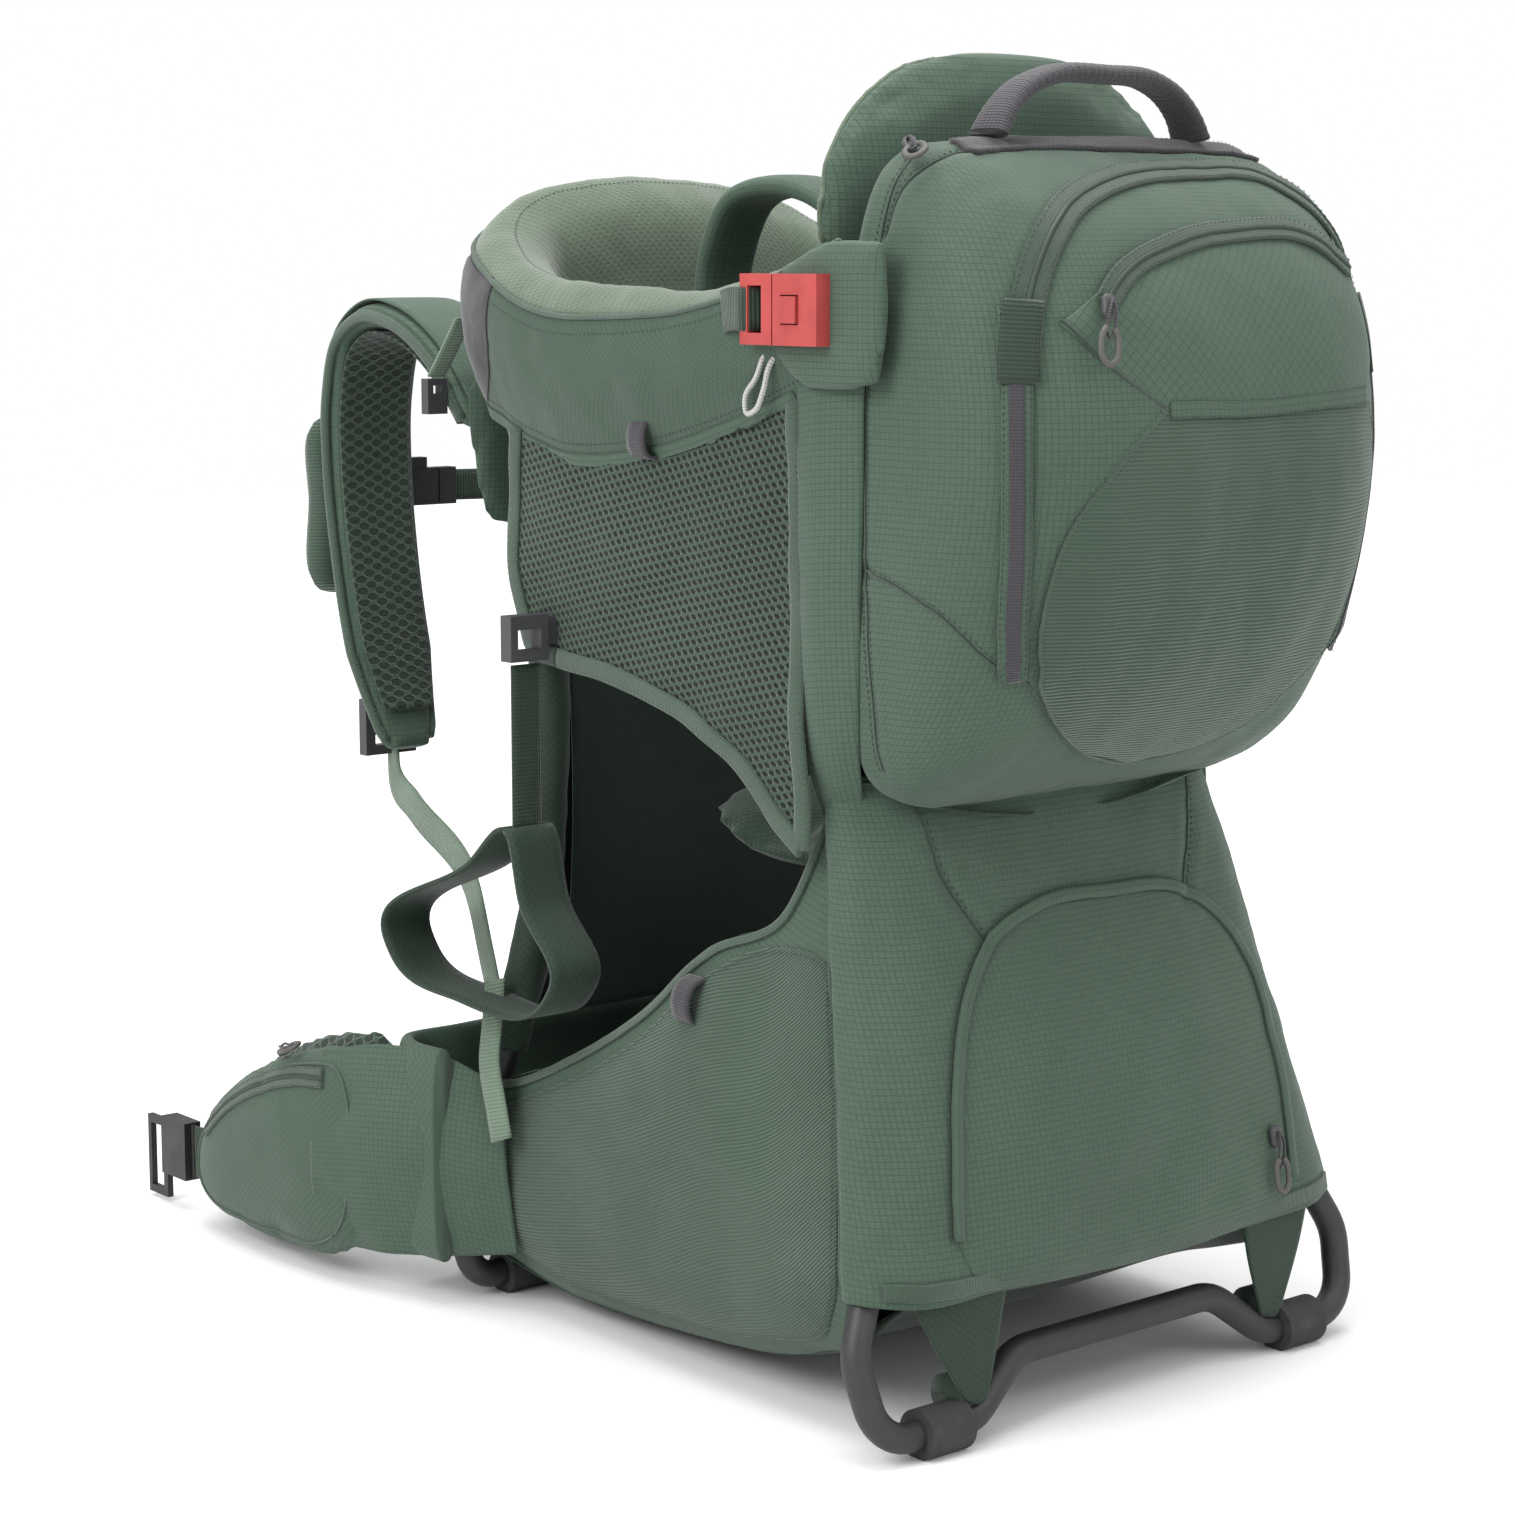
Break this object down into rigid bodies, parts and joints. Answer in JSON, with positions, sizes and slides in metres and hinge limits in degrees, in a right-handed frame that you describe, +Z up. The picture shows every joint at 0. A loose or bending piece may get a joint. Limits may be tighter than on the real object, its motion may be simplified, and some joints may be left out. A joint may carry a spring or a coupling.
{
  "type": "baby carrier backpack",
  "caption": "frame child carrier with a fold-out kickstand, padded cockpit, daypack, sliding shoulder harness and hip belt",
  "frame": {"origin": "bottom centre of the whole carrier's box, on the floor it stands on", "axes": "+X is the wearer's right, +Y forward to the wearer (daypack at -Y), +Z up"},
  "size_m": [0.456, 0.764, 0.726],
  "materials": {
    "tube": "dark charcoal powder coat, satin",
    "steel": "bright pin",
    "rubber": "matt black sleeve",
    "bracket": "moulded nylon, fine texture",
    "hardware": "dark grey acetal",
    "board": "thin stiff sheet",
    "ripstop": "sage green ripstop nylon",
    "stretch": "fine ribbed stretch knit, green",
    "mesh": "open spacer mesh, green",
    "liner": "light green brushed liner",
    "dark_cloth": "dark green pad cloth",
    "webbing": "light green webbing",
    "dark_webbing": "dark plum grey webbing",
    "red": "coral red buckle",
    "black": "black acetal"
  },
  "bodies": {
    "pack": {"main_frame": "tube", "front_feet": "rubber", "cockpit_hoop": "tube", "top_bar": "tube", "corner_joints": "bracket", "rear_struts": "tube", "hinge_brackets": "bracket", "hinge_pins": "steel", "framesheet": "board", "back_panel": "dark_cloth", "hip_belt_back": "ripstop", "lower_body": "ripstop", "side_pockets": "stretch", "side_meshes": "mesh", "collars": "ripstop", "front_pad": "liner", "daypack_shell": "ripstop", "daypack_pocket": "stretch", "handle_anchors": "dark_webbing", "child_harness": "liner", "buckle_sockets": "red", "stirrup_adjusters": "hardware", "lower_webbings": "webbing"},
    "kickstand": {"kickstand": "tube", "rear_feet": "rubber", "corner_sleeves": "ripstop", "rear_pocket": "ripstop", "stand_gussets": "ripstop"},
    "headrest": {"headrest": "ripstop"},
    "handle": {"haul_handle": "dark_webbing"},
    "seat": {"child_seat": "dark_cloth"},
    "chest_clip": {"chest_clip": "black"},
    "harness": {"harness_yoke": "ripstop", "shoulder_strap_left": "ripstop", "shoulder_strap_right": "ripstop", "strap_pocket": "stretch", "strap_locks": "hardware", "load_lifters": "webbing", "lifter_hooks": "hardware"},
    "sternum_left": {"sternum_socket": "black"},
    "sternum_right": {"sternum_plug": "black", "sternum_webbing": "ripstop"},
    "wing_left": {"hip_wing_left": "ripstop", "hip_pocket_left": "ripstop"},
    "wing_right": {"hip_wing_right": "ripstop", "hip_pocket_right": "ripstop"},
    "hip_buckle_left": {"hip_buckle_left": "black"},
    "hip_buckle_right": {"hip_buckle_right": "black"},
    "plug_left": {"buckle_plug_left": "red"},
    "plug_right": {"buckle_plug_right": "red"},
    "button_left": {"buckle_button_left": "red"},
    "button_right": {"buckle_button_right": "red"},
    "stirrup_left": {"stirrup_left": "dark_cloth"},
    "stirrup_right": {"stirrup_right": "dark_cloth"},
    "daypack_zip": {"daypack_zip_slider": "hardware"},
    "pocket_zip": {"pocket_zip_slider": "hardware"},
    "rear_zip": {"rear_zip_slider": "hardware"},
    "hip_zip_left": {"hip_zip_slider_left": "hardware"},
    "hip_zip_right": {"hip_zip_slider_right": "hardware"}
  },
  "joints": [
    {"name": "kickstand_fold", "type": "hinge", "parent": "pack", "child": "kickstand", "pos_m": [0, -0.208, 0.372], "axis": [1, 0, 0], "range_deg": [0, 50], "deforming": ["lower_body", "side_pockets"]},
    {"name": "torso_adjust", "type": "slide", "parent": "pack", "child": "harness", "axis": [0, 0, 1], "range_m": [-0.05, 0.04], "deforming": ["lower_webbings", "load_lifters"]},
    {"name": "sternum_height", "type": "slide", "parent": "harness", "child": "sternum_left", "axis": [0, 0, 1], "range_m": [-0.04, 0.025]},
    {"name": "sternum_buckle", "type": "slide", "parent": "sternum_left", "child": "sternum_right", "axis": [1, 0, 0], "range_m": [0, 0.03]},
    {"name": "hip_belt_left", "type": "hinge", "parent": "pack", "child": "wing_left", "pos_m": [-0.184, 0.113, 0.09], "axis": [0, 0, -1], "range_deg": [-10, 40]},
    {"name": "hip_belt_right", "type": "hinge", "parent": "pack", "child": "wing_right", "pos_m": [0.184, 0.113, 0.09], "axis": [0, 0, 1], "range_deg": [-10, 40]},
    {"name": "hip_buckle_left_swivel", "type": "hinge", "parent": "wing_left", "child": "hip_buckle_left", "pos_m": [-0.207, 0.327, 0.04], "axis": [0, 0, -1], "range_deg": [-25, 25]},
    {"name": "hip_buckle_right_swivel", "type": "hinge", "parent": "wing_right", "child": "hip_buckle_right", "pos_m": [0.207, 0.327, 0.04], "axis": [0, 0, 1], "range_deg": [-25, 25]},
    {"name": "haul_handle", "type": "hinge", "parent": "pack", "child": "handle", "pos_m": [0, -0.276, 0.684], "axis": [1, 0, 0], "range_deg": [-25, 60]},
    {"name": "headrest_height", "type": "slide", "parent": "pack", "child": "headrest", "axis": [0, 0, 1], "range_m": [-0.02, 0.02]},
    {"name": "seat_height", "type": "slide", "parent": "pack", "child": "seat", "axis": [0, 0, 1], "range_m": [0, 0.06]},
    {"name": "chest_clip_height", "type": "slide", "parent": "pack", "child": "chest_clip", "axis": [0, 0, 1], "range_m": [-0.04, 0.05]},
    {"name": "cockpit_buckle_left", "type": "slide", "parent": "pack", "child": "plug_left", "axis": [0, 1, 0], "range_m": [0, 0.028]},
    {"name": "cockpit_buckle_right", "type": "slide", "parent": "pack", "child": "plug_right", "axis": [0, 1, 0], "range_m": [0, 0.028]},
    {"name": "buckle_button_left", "type": "slide", "parent": "pack", "child": "button_left", "axis": [1, 0, 0], "range_m": [0, 0.003], "stiffness_N_per_m": 300},
    {"name": "buckle_button_right", "type": "slide", "parent": "pack", "child": "button_right", "axis": [-1, 0, 0], "range_m": [0, 0.003], "stiffness_N_per_m": 300},
    {"name": "stirrup_left", "type": "hinge", "parent": "pack", "child": "stirrup_left", "pos_m": [-0.175, 0, 0.384], "axis": [1, 0, 0], "range_deg": [0, 40]},
    {"name": "stirrup_right", "type": "hinge", "parent": "pack", "child": "stirrup_right", "pos_m": [0.175, 0, 0.384], "axis": [1, 0, 0], "range_deg": [0, 40]},
    {"name": "daypack_zip", "type": "slide", "parent": "pack", "child": "daypack_zip", "axis": [1, 0, 0], "range_m": [0, 0.22]},
    {"name": "pocket_zip", "type": "hinge", "parent": "pack", "child": "pocket_zip", "pos_m": [0.003, -0.38, 0.373], "axis": [0, 1, 0], "range_deg": [0, 40]},
    {"name": "rear_zip", "type": "slide", "parent": "kickstand", "child": "rear_zip", "axis": [0, 0.128, 0.9918], "range_m": [-0.025, 0.02]},
    {"name": "hip_zip_left", "type": "slide", "parent": "wing_left", "child": "hip_zip_left", "axis": [0, -0.957, 0.2901], "range_m": [0, 0.028]},
    {"name": "hip_zip_right", "type": "slide", "parent": "wing_right", "child": "hip_zip_right", "axis": [0, -0.957, 0.2901], "range_m": [0, 0.028]}
  ]
}
